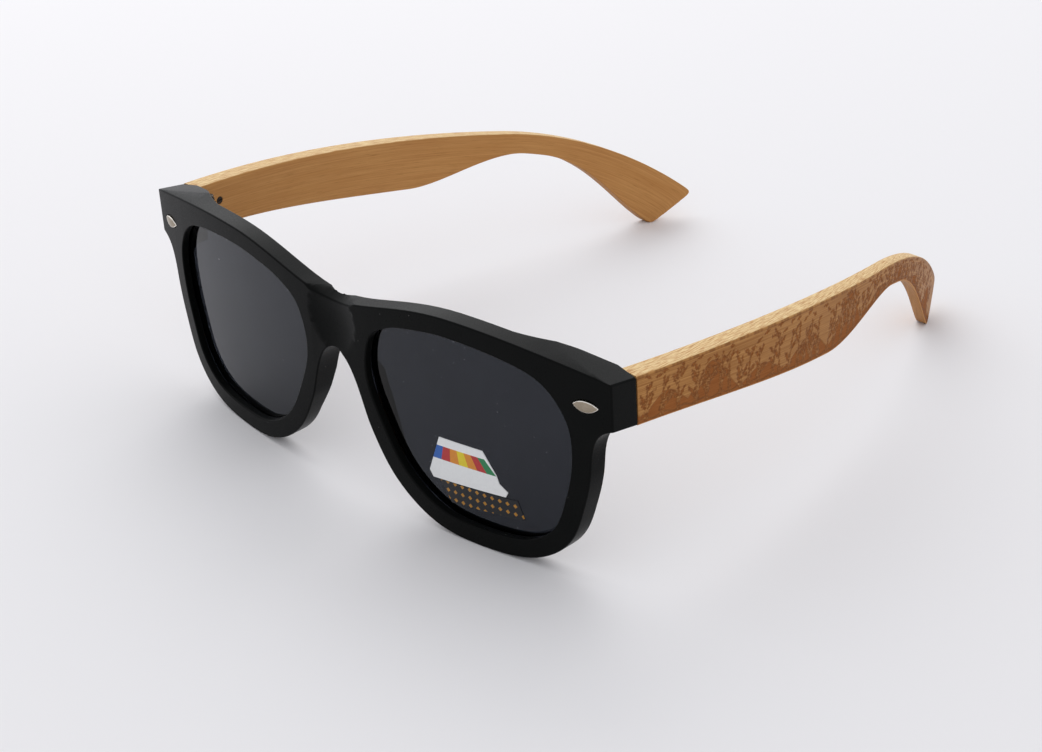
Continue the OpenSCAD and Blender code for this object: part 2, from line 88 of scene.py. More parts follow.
# %% Camera
picture_w = 1042
focal_px = 2266.65
sensor_mm = 36
azimuth, elevation, roll = (math.radians(a) for a in (46.258, 28.223, -2.195))
aim = Vector((0, -0.030, 0.025))
shift_right, shift_up, distance = 0.005284, -0.014502, 0.499117

backward = Vector((
    math.sin(azimuth) * math.cos(elevation),
    -math.cos(azimuth) * math.cos(elevation),
    math.sin(elevation),
))
level = Vector((math.cos(azimuth), math.sin(azimuth), 0))
lift = backward.cross(level)
right = math.cos(roll) * level + math.sin(roll) * lift
up = -math.sin(roll) * level + math.cos(roll) * lift
eye = aim + shift_right * right + shift_up * up + distance * backward

bpy.ops.object.camera_add()
camera = bpy.context.object
camera.name = "camera"
camera.data.sensor_width = sensor_mm
camera.data.lens = focal_px / picture_w * sensor_mm
camera.data.clip_start = 0.01
camera.matrix_world = Matrix([
    (right[i], up[i], backward[i], eye[i]) for i in range(3)
] + [(0, 0, 0, 1)])
bpy.context.scene.camera = camera
print("camera lens", round(camera.data.lens, 1), "mm, eye at", [round(c, 3) for c in eye])

# %% [markdown]
# The glasses stand on a pale sheet under soft studio light.
# A broad lamp at the upper left and a window behind light the upper faces, and leave the front
# in its own shade. The world fills the shadows, and both together are kept at a level at which
# a colour comes out about as it is written.
# Uncoated paper has hardly any shine, so it gives the eye an even ground with a soft shadow.

# %% Floor and light
sheet_w = 6
bpy.ops.mesh.primitive_plane_add(size=sheet_w, location=(0, 0, 0))
floor = bpy.context.object
floor.name = "floor"

sheet = bpy.data.materials.new("pale_matt_paper_sheet")
sheet.use_nodes = True
shader = sheet.node_tree.nodes["Principled BSDF"]
shader.inputs["Base Color"].default_value = linear("#efedee")
shader.inputs["Roughness"].default_value = 0.9
shader.inputs["Specular IOR Level"].default_value = 0.1
floor.data.materials.append(sheet)

world = bpy.data.worlds.new("soft_room")
world.use_nodes = True
world.node_tree.nodes["Background"].inputs["Color"].default_value = linear("#f4f6fa")
world.node_tree.nodes["Background"].inputs["Strength"].default_value = 0.80
bpy.context.scene.world = world

# Place, width and power of each lamp.
lamps = {
    "upper_left": ((-0.95, 0.25, 1.00), 1.6, 6.5),
    "window": ((-0.95, 0.95, 0.80), 1.2, 4.5),
}
for name, (place, size, power) in lamps.items():
    bpy.ops.object.light_add(type="AREA", location=place)
    lamp = bpy.context.object
    lamp.name = name
    lamp.data.shape = "DISK"
    lamp.data.size = size
    lamp.data.energy = power
    lamp.rotation_euler = (-Vector(place)).to_track_quat("-Z", "Y").to_euler()
bpy.context.scene.view_settings.view_transform = "Standard"
print("floor and", len(lamps), "lamps")

# %% [markdown]
# The front is one moulding of matt black plastic.
# A fine spark-eroded grain in the mould breaks up its shine, so light spreads over the upper faces
# in a soft grey and the rest stays nearly black.
# A few specks of dust lie on it, as on any matt black thing.
# One flat black would look like a hole in the picture. So noise at real sizes moves its tone, its shine
# and its bump. Most materials here start alike, with the piece's own coordinates in millimetres.


# %% Matt black plastic
def start_material(name):
    made = bpy.data.materials.new(name)
    made.use_nodes = True
    tree = made.node_tree
    own = add(tree, "ShaderNodeTexCoord")
    in_mm = add(tree, "ShaderNodeMapping", {"Vector": own.outputs["Object"], "Scale": (1 / MM,) * 3})
    return made, tree, tree.nodes["Principled BSDF"], in_mm.outputs["Vector"]


black_plastic, tree, shader, place = start_material("black_polycarbonate_matt_moulded")
# Broad cloudiness of the moulded skin, in patches of about 6 mm.
cloud = add(tree, "ShaderNodeTexNoise", {"Vector": place, "Scale": 1 / 6, "Detail": 4})
# Grain of the mould. The real one is near 0.05 mm and is drawn at 0.22 mm, so that it shows.
grain = add(tree, "ShaderNodeTexNoise", {"Vector": place, "Scale": 1 / 0.22, "Detail": 3})
# Dust, one speck of about 0.15 mm in some of the cells, which are 2 mm across.
cell, speck_r = 2.0, 0.07
cells = add(tree, "ShaderNodeTexVoronoi", {"Vector": place, "Scale": 1 / cell})
speck = add(tree, "ShaderNodeMath", {
    0: cells.outputs["Distance"], 1: speck_r / cell,
}, operation="LESS_THAN")
chance = add(tree, "ShaderNodeSeparateColor", {"Color": cells.outputs["Color"]})
some = add(tree, "ShaderNodeMath", {0: chance.outputs["Red"], 1: 0.62}, operation="GREATER_THAN")
dust = add(tree, "ShaderNodeMath", {0: speck.outputs[0], 1: some.outputs[0]}, operation="MULTIPLY")
tone = add(tree, "ShaderNodeMix", {
    "Factor": cloud.outputs["Fac"], "A": linear("#090a0a"), "B": linear("#0f100f"),
}, data_type="RGBA")
dusty = add(tree, "ShaderNodeMix", {
    "Factor": dust.outputs[0], "A": tone.outputs["Result"], "B": linear("#7d7c78"),
}, data_type="RGBA")
sheen = add(tree, "ShaderNodeMapRange", {
    "Value": grain.outputs["Fac"], "From Min": 0.3, "From Max": 0.7, "To Min": 0.25, "To Max": 0.36,
})
relief = add(tree, "ShaderNodeBump", {
    "Height": grain.outputs["Fac"], "Strength": 0.10, "Distance": 0.0001,
})
tree.links.new(dusty.outputs["Result"], shader.inputs["Base Color"])
tree.links.new(sheen.outputs["Result"], shader.inputs["Roughness"])
tree.links.new(relief.outputs["Normal"], shader.inputs["Normal"])
shader.inputs["IOR"].default_value = 1.5
shader.inputs["Specular IOR Level"].default_value = 0.045
print("made", black_plastic.name)

# %% [markdown]
# The front's shape is already right in the model, but its edges are knife sharp there.
# A copy of the solid is merged into one skin, its flat faces are joined, and every edge is bevelled
# by about a third of a millimetre, which is the small round that a mould leaves.
# The normals that came with the copy belong to its old faces, so they are cleared first.
# A bevel on a merged copy keeps every size and seat of the solid, which a new mesh could miss.
# Where each nose pad runs into the arch, a step of a third of a millimetre is too small for the bevel,
# so its points are merged into one first. That is done on the left half alone, and the finished half
# is then mirrored, so that both come out alike.


# %% Rounded copies of solids
merge_m = 2e-6
pinch_mm = 0.6
bevel_steps = 3
smooth_deg = 35
# The step at the left nose pad, in mm.
nose_step = (2.28, -72.19, 33.19)


# Faces that lie flatter than flat_deg are joined, and edges sharper than sharp_deg get a bevel of edge_mm.
# A rim is a second material for the bevel alone.
def rounded_copy(node, name, body, material, edge_mm, flat_deg=0.6, sharp_deg=30, clamp=False,
                 pinch=None, mirrored=False, rim=None):
    piece = bpy.data.objects.new(name, nodes[node].data.copy())
    piece.data.name = name
    piece.data.materials.clear()
    for layer in filter(None, (material, rim)):
        piece.data.materials.append(layer)
    bpy.context.scene.collection.objects.link(piece)
    only(piece)
    bpy.ops.mesh.customdata_custom_splitnormals_clear()
    bpy.ops.object.mode_set(mode="EDIT")
    bpy.ops.mesh.select_all(action="SELECT")
    bpy.ops.mesh.remove_doubles(threshold=merge_m)
    if flat_deg:
        bpy.ops.mesh.dissolve_limited(angle_limit=math.radians(flat_deg), use_dissolve_boundaries=False)
    bpy.ops.mesh.select_mode(type="VERT")
    if pinch:
        bpy.ops.mesh.select_all(action="DESELECT")
        bpy.ops.object.mode_set(mode="OBJECT")
        for point in piece.data.vertices:
            point.select = (point.co / MM - Vector(pinch)).length < pinch_mm
        bpy.ops.object.mode_set(mode="EDIT")
        bpy.ops.mesh.merge(type="CENTER")
    bpy.ops.object.mode_set(mode="OBJECT")
    if edge_mm:
        edge = piece.modifiers.new("edge", "BEVEL")
        edge.width = edge_mm * MM
        edge.segments = bevel_steps
        edge.limit_method = "ANGLE"
        edge.angle_limit = math.radians(sharp_deg)
        edge.use_clamp_overlap = clamp
        edge.miter_outer = "MITER_ARC"
        edge.material = 1 if rim else -1
        bpy.ops.object.modifier_apply(modifier="edge")
    if mirrored:
        bpy.ops.object.mode_set(mode="EDIT")
        bpy.ops.mesh.select_all(action="SELECT")
        bpy.ops.mesh.symmetrize(direction="POSITIVE_X", threshold=1e-6)
        bpy.ops.object.mode_set(mode="OBJECT")
    bpy.ops.object.shade_smooth_by_angle(angle=math.radians(smooth_deg))
    if edge_mm:
        even = piece.modifiers.new("even", "WEIGHTED_NORMAL")
        even.keep_sharp = True
        bpy.ops.object.modifier_apply(modifier="even")
    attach(piece, body)
    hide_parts(node)
    print(name, len(piece.data.polygons), "faces")
    return piece


rounded_copy("front_frame", "front_moulding", "front", black_plastic,
             edge_mm=0.35, sharp_deg=40, pinch=nose_step, mirrored=True)

# %% [markdown]
# The lenses are dark grey tinted plastic with a polished face.
# Only a fiftieth of the light comes through, so what the eye sees is the pale floor mirrored faintly
# in the face, the dark wall of the rim around it, and a hint of what lies behind.
# Faint wipe marks in the roughness keep the mirror from looking perfect.
# A glossy black would hide what lies behind, so the shader lets light through and tints it.

# %% Smoke lenses
smoke, tree, shader, place = start_material("smoke_tinted_polycarbonate_polished")
# Wipe marks are streaks about 9 mm long and 1.5 mm wide.
streak = add(tree, "ShaderNodeMapping", {
    "Vector": place, "Rotation": (0, math.radians(28), 0), "Scale": (1 / 9, 1 / 9, 1 / 1.5),
})
wiped = add(tree, "ShaderNodeTexNoise", {"Vector": streak.outputs["Vector"], "Scale": 1, "Detail": 3})
polish = add(tree, "ShaderNodeMapRange", {
    "Value": wiped.outputs["Fac"], "From Min": 0.35, "From Max": 0.75, "To Min": 0.02, "To Max": 0.07,
})
# The tint is a little uneven, in clouds of about 14 mm.
depth = add(tree, "ShaderNodeTexNoise", {"Vector": place, "Scale": 1 / 14, "Detail": 2})
tint = add(tree, "ShaderNodeMix", {
    "Factor": depth.outputs["Fac"], "A": linear("#23262c"), "B": linear("#2a2d34"),
}, data_type="RGBA")
# Dust, one pale speck in each cell of 2.5 mm. Real specks are near 0.1 mm and are drawn at 0.3 mm,
# so that they show.
cell, speck_r = 2.5, 0.15
cells = add(tree, "ShaderNodeTexVoronoi", {"Vector": place, "Scale": 1 / cell})
clear = add(tree, "ShaderNodeMath", {
    0: cells.outputs["Distance"], 1: speck_r / cell,
}, operation="GREATER_THAN")
dusty = add(tree, "ShaderNodeMix", {
    "Factor": clear.outputs[0], "A": linear("#e8e8ea"), "B": tint.outputs["Result"],
}, data_type="RGBA")
tree.links.new(dusty.outputs["Result"], shader.inputs["Base Color"])
tree.links.new(polish.outputs["Result"], shader.inputs["Roughness"])
shader.inputs["Transmission Weight"].default_value = 1
shader.inputs["IOR"].default_value = 1.285
for side in ("left", "right"):
    rounded_copy(f"lens_{side}", f"lens_{side}_tinted", "front", smoke,
                 edge_mm=0, flat_deg=0)

# %% [markdown]
# A new pair carries a sale sticker and a strip of clear film on one lens.
# The sticker is coated paper with a band of colour bars, cut out of the copied solid by straight cuts,
# so that every bar is its own set of faces with a clean edge.
# A drawn pattern would go soft at the edges of the bars.
# The bars are plain slanted stripes and the rest of the paper stays blank.
# Coated paper has a smooth clay skin, so it gives the eye flat clear colours and an even, low gloss.


# %% Sticker
def coated_paper(name, colour, pale):
    made, tree, shader, place = start_material(name)
    # Ink lies a little unevenly on the paper, in patches near 0.5 mm.
    mottle = add(tree, "ShaderNodeTexNoise", {"Vector": place, "Scale": 1 / 0.5, "Detail": 3})
    ink = add(tree, "ShaderNodeMix", {
        "Factor": mottle.outputs["Fac"], "A": linear(colour), "B": linear(pale),
    }, data_type="RGBA")
    tree.links.new(ink.outputs["Result"], shader.inputs["Base Color"])
    shader.inputs["Roughness"].default_value = 0.32
    return made


papers = [coated_paper(*finish) for finish in (
    ("paper_coated_blank", "#e2e3e3", "#ecedec"),
    ("paper_printed_blue", "#1552a4", "#2a63b0"),
    ("paper_printed_red", "#a81f22", "#b8302f"),
    ("paper_printed_orange", "#cf7d18", "#d98d2a"),
    ("paper_printed_yellow", "#d8c112", "#e2cd2c"),
    ("paper_printed_green", "#0f7440", "#228250"),
)]
# The bars from left to right, as places in that list.
bars = [1, 2, 3, 4, 3, 2, 5]
# Corners of the band of bars on the lens face, as x and z in mm.
band_top = ((26.2, 19.5), (38.6, 20.1))
band_low = ((24.9, 16.2), (41.35, 17.0))


def between(ends, share):
    return [a + (b - a) * share for a, b in zip(*ends)]


def cut_plane(a, b):
    along = Vector((b[0] - a[0], 0, b[1] - a[1])).normalized()
    return Vector((a[0], 0, a[1])) * MM, Vector((along.z, 0, -along.x))


sticker = rounded_copy("lens_sticker", "lens_sticker_paper", "front", papers[0],
                       edge_mm=0, flat_deg=0.3)
for paper in papers[1:]:
    sticker.data.materials.append(paper)
bar_cuts = [cut_plane(between(band_low, i / len(bars)), between(band_top, i / len(bars)))
            for i in range(len(bars) + 1)]
edge_cuts = [cut_plane(*band_top), cut_plane(*band_low)]
only(sticker)
bpy.ops.object.mode_set(mode="EDIT")
for point, normal in bar_cuts + edge_cuts:
    bpy.ops.mesh.select_all(action="SELECT")
    bpy.ops.mesh.bisect(plane_co=point, plane_no=normal)
bpy.ops.object.mode_set(mode="OBJECT")
for face in sticker.data.polygons:
    beyond = [normal.dot(face.center - point) > 0 for point, normal in bar_cuts]
    above, below = [normal.dot(face.center - point) > 0 for point, normal in edge_cuts]
    count = sum(beyond)
    if 0 < count < len(bar_cuts) and above != below:
        face.material_index = bars[count - 1]
print("bars on", sum(1 for f in sticker.data.polygons if f.material_index), "faces")

# %% [markdown]
# The film under the sticker is clear and thin, and what it shows is the dark lens under it.
# A see-through sheet so close to the lens would render with noise, so it takes the lens's dark tone instead,
# with a hazy gloss. Its gold print is plain rows of small lozenges, which a regular cell pattern gives.

# %% Clear film
film, tree, shader, place = start_material("polyester_film_clear")
# Haze in patches of about 2.5 mm.
haze = add(tree, "ShaderNodeTexNoise", {"Vector": place, "Scale": 1 / 2.5, "Detail": 3})
soft = add(tree, "ShaderNodeMapRange", {
    "Value": haze.outputs["Fac"], "From Min": 0.3, "From Max": 0.7, "To Min": 0.08, "To Max": 0.2,
})
# The lens face stands upright, so its x and z are turned to x and y for the flat cells of 1.9 mm.
# A lozenge reaches about half a millimetre from the middle of its cell.
cell, lozenge_share = 1.9, 0.27
upright = add(tree, "ShaderNodeMapping", {"Vector": place, "Rotation": (math.radians(90), 0, 0)})
cells = add(tree, "ShaderNodeTexVoronoi", {
    "Vector": upright.outputs["Vector"], "Scale": 1 / cell, "Randomness": 0,
}, voronoi_dimensions="2D", distance="MANHATTAN")
lozenge = add(tree, "ShaderNodeMath", {
    0: cells.outputs["Distance"], 1: lozenge_share,
}, operation="LESS_THAN")
print_on = add(tree, "ShaderNodeMix", {
    "Factor": lozenge.outputs[0], "A": linear("#16181c"), "B": linear("#a8762a"),
}, data_type="RGBA")
tree.links.new(print_on.outputs["Result"], shader.inputs["Base Color"])
tree.links.new(soft.outputs["Result"], shader.inputs["Roughness"])
shader.inputs["IOR"].default_value = 1.57
shader.inputs["Specular IOR Level"].default_value = 0.3
rounded_copy("lens_film", "lens_film_clear", "front", film, edge_mm=0, flat_deg=0)

# %% [markdown]
# The studs are small almonds of polished nickel silver, slightly domed and warm in tone.
# Fine rub marks run along them. The solid has the dome already, so only the edge round it is bevelled.
# That bevel takes a paler, smoother copy of the nickel, which is a painted highlight, and its upper half
# catches the light.
# The hinges are brushed steel with a gunmetal plating, a dark warm grey with a long dull streak of light,
# and their screws are turned from the same steel. The small screws in the temples are blackened.
# All these share one finish with other colours and marks, so one function makes them.


# %% Metals
def rubbed_metal(name, bright, dull, rough_low, rough_high, along):
    made, tree, shader, place = start_material(name)
    # Rub marks 4 mm long, along the axis that is given. Real ones are a few hundredths of a millimetre wide
    # and are drawn at 0.12 mm, so that they show.
    scale = [1 / 0.12] * 3
    scale[along] = 1 / 4
    line = add(tree, "ShaderNodeMapping", {"Vector": place, "Scale": scale})
    marks = add(tree, "ShaderNodeTexNoise", {"Vector": line.outputs["Vector"], "Scale": 1, "Detail": 2})
    # Tarnish in patches of about 1.3 mm.
    tarnish = add(tree, "ShaderNodeTexNoise", {"Vector": place, "Scale": 1 / 1.3, "Detail": 3})
    colour = add(tree, "ShaderNodeMix", {
        "Factor": tarnish.outputs["Fac"], "A": linear(bright), "B": linear(dull),
    }, data_type="RGBA")
    rough = add(tree, "ShaderNodeMapRange", {
        "Value": marks.outputs["Fac"], "From Min": 0.3, "From Max": 0.7,
        "To Min": rough_low, "To Max": rough_high,
    })
    bump = add(tree, "ShaderNodeBump", {
        "Height": marks.outputs["Fac"], "Strength": 0.06, "Distance": 0.00005,
    })
    tree.links.new(colour.outputs["Result"], shader.inputs["Base Color"])
    tree.links.new(rough.outputs["Result"], shader.inputs["Roughness"])
    tree.links.new(bump.outputs["Normal"], shader.inputs["Normal"])
    shader.inputs["Metallic"].default_value = 1
    return made


# Name, two colours, lowest and highest roughness, and the axis of the marks.
nickel = rubbed_metal("nickel_silver_polished", "#aa9f8f", "#8b7f6d", 0.16, 0.30, 0)
# A paler, smoother copy of the nickel for the studs' bevel, as a painted highlight.
nickel_painted_highlight = rubbed_metal("nickel_silver_painted_highlight_edge", "#f6f1ea", "#e6dfd4", 0.08, 0.16, 0)
hinge_steel = rubbed_metal("steel_gunmetal_plated_brushed", "#57524c", "#3d3934", 0.32, 0.46, 2)
screw_steel = rubbed_metal("steel_gunmetal_plated_turned", "#4f4a45", "#37332f", 0.30, 0.44, 0)
dark_steel = rubbed_metal("steel_black_oxide_turned", "#3a342f", "#2a2522", 0.35, 0.5, 1)
for side in ("left", "right"):
    arm = f"temple_arm_{side}"
    rounded_copy(f"stud_{side}", f"stud_{side}_almond", "front", nickel,
                 edge_mm=0.16, flat_deg=0.3, sharp_deg=40, rim=nickel_painted_highlight)
    rounded_copy(f"front_hinge_{side}", f"front_hinge_{side}_foot", "front", hinge_steel,
                 edge_mm=0.10, flat_deg=0.3, clamp=True)
    rounded_copy(f"hinge_screw_{side}", f"hinge_screw_{side}_pin", "front", screw_steel,
                 edge_mm=0.06, flat_deg=0.3)
    rounded_copy(f"temple_hinge_{side}", f"temple_hinge_{side}_leaf", arm, hinge_steel,
                 edge_mm=0.10, flat_deg=0.3, clamp=True)
    rounded_copy(f"leaf_screw_{side}", f"leaf_screw_{side}_slotted", arm, dark_steel,
                 edge_mm=0.06, flat_deg=0.3)

# %% [markdown]
# Each temple is a bowed strip of bamboo, sawn to its outline and rounded a little along its edges.
# Its outer side is burnt with a pattern, a tenth of a millimetre deep.
# A solid with few faces can't carry that relief. So a fine grid is added as a primitive, rolled round
# the temple's cross-section along its length, merged at the seam and closed at both ends.
# The outline follows the same few measures as the solid, so both have the same size.

# %% Measures of the temple
# Lengths of the top and the bottom edge, and the thickness at the joint and at the tip, all in mm.
temple_l, low_l, temple_t, tip_t = 146.0, 143.8, 4.9, 2.5
# The end of the front, the joint behind it and half the width there.
end_reach, joint_y, joint_z, half_w = 16.4, 16.5, 45.2, 70.0
# The top edge falls at this slope, bends slowly to the ear and faster behind it.
slope, back_r, ear_at, ear_r = math.radians(5.5), 640.0, 91.0, 95.5
# The height at the joint, and what the belly adds, the neck takes away and the tip adds again,
# with the start and the length of each change.
joint_h, belly_gain, neck_loss, tip_gain = 10.7, 2.1, 7.7, 7.4
belly_run, neck_at, neck_run, tip_at, tip_run = 60, 64, 33, 103, 40
# The bow seen from above, and the angle of the butt end.
bow_r, bow_y, bow_x = 235.0, 36.8, -166.57
butt = math.radians(4.93)
# How the glasses lean when they stand on the floor.
lean, middle_y, floor_drop = math.radians(1.57944), 75.5126, 0.0749
# Rounds of the tip's outline, of the long edges and of the tip's edge.
tip_round, edge_round, tip_edge = 3.4, 0.45, 0.12
straight_rows, round_rows = 641, 20


def ease(x):
    x = np.clip(x, 0, 1)
    return x * x * (3 - 2 * x)


def top_edge(s):
    ear = slope + ear_at / back_r
    angle = np.where(s < ear_at, slope + s / back_r, ear + (s - ear_at) / ear_r)
    first = np.minimum(angle, ear)
    y = joint_y + back_r * (np.sin(first) - math.sin(slope)) + ear_r * (np.sin(angle) - np.sin(first))
    z = joint_z - back_r * (math.cos(slope) - np.cos(first)) - ear_r * (np.cos(first) - np.cos(angle))
    return np.stack([y, z], -1), np.stack([-np.sin(angle), -np.cos(angle)], -1)


def low_edge(s):
    point, down = top_edge(s)
    height = (joint_h + belly_gain * ease(s / belly_run) - neck_loss * ease((s - neck_at) / neck_run)
              + tip_gain * ease((s - tip_at) / tip_run))
    return point + down * height[..., None]


def corner(a, b, c, steps):
    t = np.linspace(0, 1, steps + 1)[1:, None]
    return (1 - t) ** 3 * a + 3 * t * (1 - t) * b + t ** 3 * c


rows = np.linspace(0, 1, straight_rows)
first_mm = np.linspace(0, 5, 51)
low_start = np.interp(joint_y, low_edge(first_mm)[:, 0], first_mm)
tops = top_edge(rows * (temple_l - tip_round))[0]
lows = low_edge(low_start + rows * (low_l - tip_round - low_start))
tip_top = top_edge(np.array([temple_l]))[0][0]
tip_low = low_edge(np.array([low_l]))[0]
tip_way = (tip_low - tip_top) / np.linalg.norm(tip_low - tip_top)
tops = np.concatenate([tops, corner(tops[-1], tip_top, tip_top + tip_way * tip_round, round_rows)])
lows = np.concatenate([lows, corner(lows[-1], tip_low, tip_low - tip_way * tip_round, round_rows)])
print("temple rows", len(tops), "tip", np.round(tip_top, 2), np.round(tip_low, 2))

# %% [markdown]
# The burnt pattern is drawn on the outer side only: a wavy bank and low hills along the bottom,
# reeds with narrow leaves standing on them, and small lozenges scattered under the top edge.
# It is worked out point by point from plain shapes, as a value from 0, bare, to 1, burnt.
# Each reed keeps a thin bare line around it, so that it also reads on a burnt hill.
# A pattern in the material alone would stay flat, and this one also moves the points of the strip.


# %% Burnt pattern of reeds
# Sizes in mm: the soft edge of the burning, how far it wanders off its line, the bare line around a reed,
# half the width of a stem and of a leaf, and half the length and width of a lozenge.
soft_edge, wander, bare_line = 0.3, 0.11, 0.26
stem_half, leaf_half, lozenge_l, lozenge_w = 0.2, 0.30, 0.85, 0.34
# Where the hills start and how far apart they are, and where reeds and lozenges start and end.
hill_at, hill_step = 9, 15.5
reed_at, reed_end, lozenge_at, lozenge_end = 2.0, 141, 3.0, 140


def soft_inside(gap_mm):
    return np.clip(0.5 - gap_mm / soft_edge, 0, 1)


# Each point has its way along the strip, its depth under the top edge and the strip's height there, in mm.
def burnt_reeds(along, deep, height, seed):
    pick = random.Random(seed)
    aside = wander * (np.sin(deep * 5.3 + 2 * np.sin(along * 1.9)) + np.sin(along * 3.7 + deep * 8.9))
    below = wander * (np.sin(along * 4.9 + 2 * np.sin(deep * 2.3)) + np.sin(along * 9.1 - deep * 3.1))
    # The bank, with hills of random size on it and a bare ripple near the bottom edge.
    wave = 1.5 + 0.5 * np.sin(along / 3.1) + 0.35 * np.sin(along / 1.27 + 1) + 2 * below
    for middle in np.arange(hill_at, temple_l, hill_step):
        tall = pick.uniform(0.35, 1.05)
        wide = pick.uniform(4.0, 7.5)
        shift = pick.uniform(-4, 4)
        wave = np.maximum(wave, tall * height * np.exp(-((along - middle - shift) / wide) ** 2))
    burnt = soft_inside(height - wave - deep)
    ripple = np.abs(deep - height + 0.95 + 0.28 * np.sin(along / 0.9)) - 0.13
    burnt *= 1 - 0.9 * soft_inside(ripple)

    # A shape gives each point's gap to it in mm, below 0 inside.
    # It is burnt in with its bare line around it.
    def stamp(low, high, shape):
        first, last = np.searchsorted(along[:, 0], [low, high])
        a, d, h = (along + aside)[first:last], (deep + below)[first:last], height[first:last]
        gap = shape(a, d, h)
        part = burnt[first:last]
        part *= 1 - soft_inside(gap - bare_line)
        np.maximum(part, soft_inside(gap), out=part)

    def leaf(a0, d0, turn, long, wide, pointed=False):
        def shape(a, d, h):
            u = (a - a0) * math.cos(turn) + (d - d0) * math.sin(turn)
            v = -(a - a0) * math.sin(turn) + (d - d0) * math.cos(turn)
            if pointed:
                return (np.abs(u) / long + np.abs(v) / wide - 1) * wide
            return (np.sqrt((u / long) ** 2 + (v / wide) ** 2) - 1) * wide
        stamp(a0 - long - 1, a0 + long + 1, shape)

    a0 = reed_at
    while a0 < reed_end:
        tall = float(np.interp(a0, along[:, 0], height[:, 0]))
        head = pick.uniform(0.12, 0.40) * tall
        tilt = pick.uniform(-0.16, 0.16)

        def stem(a, d, h, a0=a0, head=head, tilt=tilt):
            side = np.abs(a - a0 - tilt * (h - d)) - stem_half
            return np.maximum(side, np.maximum(head - d, d - h + 0.3))
        stamp(a0 - 3, a0 + 3, stem)
        for _ in range(pick.randint(3, 6)):
            d0 = head + (tall - head) * pick.uniform(0.0, 0.7)
            way = pick.choice((-1, 1))
            reach = pick.uniform(0.8, 1.5)
            turn = way * pick.uniform(0.5, 1.1)
            leaf(a0 + tilt * (tall - d0) - way * reach * 0.8, d0 - reach * 0.3, turn, reach, leaf_half)
        a0 += pick.uniform(2.3, 5.2)
    a0 = lozenge_at
    while a0 < lozenge_end:
        tall = float(np.interp(a0, along[:, 0], height[:, 0]))
        deep_at = pick.uniform(0.07, 0.30) * tall
        leaf(a0, deep_at, pick.uniform(-0.6, 0.6), lozenge_l, lozenge_w, pointed=True)
        a0 += pick.uniform(1.5, 3.2)
    return burnt


print("pattern of reeds from", reed_at, "to", reed_end, "mm along the strip")

# %% [markdown]
# Bamboo shows long straight fibres, with short darker bundles among them.
# The sawn top edge is paler and flecked: the flecks are the cut grain, and the paleness on the top edge
# alone is partly a painted highlight where the light falls. The burnt parts are matt red brown, with a
# darker line where the burning stops, which is painted shade of the relief's step. Smoke has tanned the
# outer side, and the bottom edge takes the same tan as painted shade, since it faces down.
# The grain follows the bent strip, so it reads the strip's own UV map, laid out in real size.
# The colours are laid over each other like coats of stain, each with its own layer of grain.

# %% Bamboo
# One unit of the UV map is this many mm.
uv_span = 200.0
bamboo = bpy.data.materials.new("bamboo_sawn_oiled_laser_burnt")
bamboo.use_nodes = True
tree = bamboo.node_tree
shader = tree.nodes["Principled BSDF"]
strip = add(tree, "ShaderNodeUVMap", uv_map="strip")
place = add(tree, "ShaderNodeMapping", {
    "Vector": strip.outputs["UV"], "Scale": (uv_span,) * 3,
}).outputs["Vector"]
# Length and width of each layer's marks in mm, and its turn.
layers = {}
for name, size, turn in (
    ("fibre", (22, 0.35), 0), ("bundle", (5, 0.22), 0), ("tone", (40, 3), 0), ("fleck", (3.0, 0.30), 0.12),
):
    laid = add(tree, "ShaderNodeMapping", {"Vector": place, "Rotation": (0, 0, turn)})
    sized = add(tree, "ShaderNodeMapping", {
        "Vector": laid.outputs["Vector"], "Scale": (1 / size[0], 1 / size[1], 1),
    })
    layers[name] = add(tree, "ShaderNodeTexNoise", {
        "Vector": sized.outputs["Vector"], "Scale": 1, "Detail": 3, "Roughness": 0.6,
    }).outputs["Fac"]
# The strip's values: burnt; a dark line at the brink, which is painted shade, and scorching along the top's
# outer corner; the pale top edge, partly a painted highlight; and tanned by smoke, with the same tan as
# painted shade on the bottom edge.
for name in ("burn", "shade_and_scorch", "sawn_top_and_highlight", "smoke_and_shade"):
    layers[name] = add(tree, "ShaderNodeAttribute", attribute_name=name).outputs["Fac"]
# Colour, layer, where the coat starts and is full, its greatest share, and where alone it lies.
coats = (
    ("#c69258", "fibre", 0.35, 0.65, 1.00, None),
    ("#b47d45", "tone", 0.45, 0.70, 0.50, None),
    ("#8a5c2e", "bundle", 0.58, 0.72, 0.55, None),
    # Pale flecks on the top edge alone: cut grain, and partly a painted highlight where the light falls.
    ("#ecd09a", "fleck", 0.36, 0.58, 0.92, "sawn_top_and_highlight"),
    # Smoke tan on the outer side; on the bottom edge the same tan is painted shade.
    ("#8d5c2c", "fibre", 0.80, 0.30, 0.85, "smoke_and_shade"),
    ("#96592c", "fibre", 0.00, 0.35, 0.85, "burn"),
    ("#773f1a", "bundle", 0.40, 0.70, 0.55, "burn"),
    # A dark line where the burning stops, painted shade of the relief's step; along the top's outer corner
    # it is scorching.
    ("#5f2e10", "shade_and_scorch", 0.10, 1.00, 0.65, None),
)
colour = linear("#b57f4a")
for stain, layer, start, full, most, where in coats:
    cover = add(tree, "ShaderNodeMapRange", {
        "Value": layers[layer], "From Min": start, "From Max": full, "To Min": 0, "To Max": most,
    }).outputs["Result"]
    if where:
        cover = add(tree, "ShaderNodeMath", {0: layers[where], 1: cover}, operation="MULTIPLY").outputs[0]
    colour = add(tree, "ShaderNodeMix", {
        "Factor": cover, "A": colour, "B": linear(stain),
    }, data_type="RGBA").outputs["Result"]
rough = add(tree, "ShaderNodeMapRange", {
    "Value": layers["burn"], "From Min": 0, "From Max": 1, "To Min": 0.44, "To Max": 0.72,
})
relief = add(tree, "ShaderNodeBump", {"Height": layers["fibre"], "Strength": 0.25, "Distance": 0.00006})
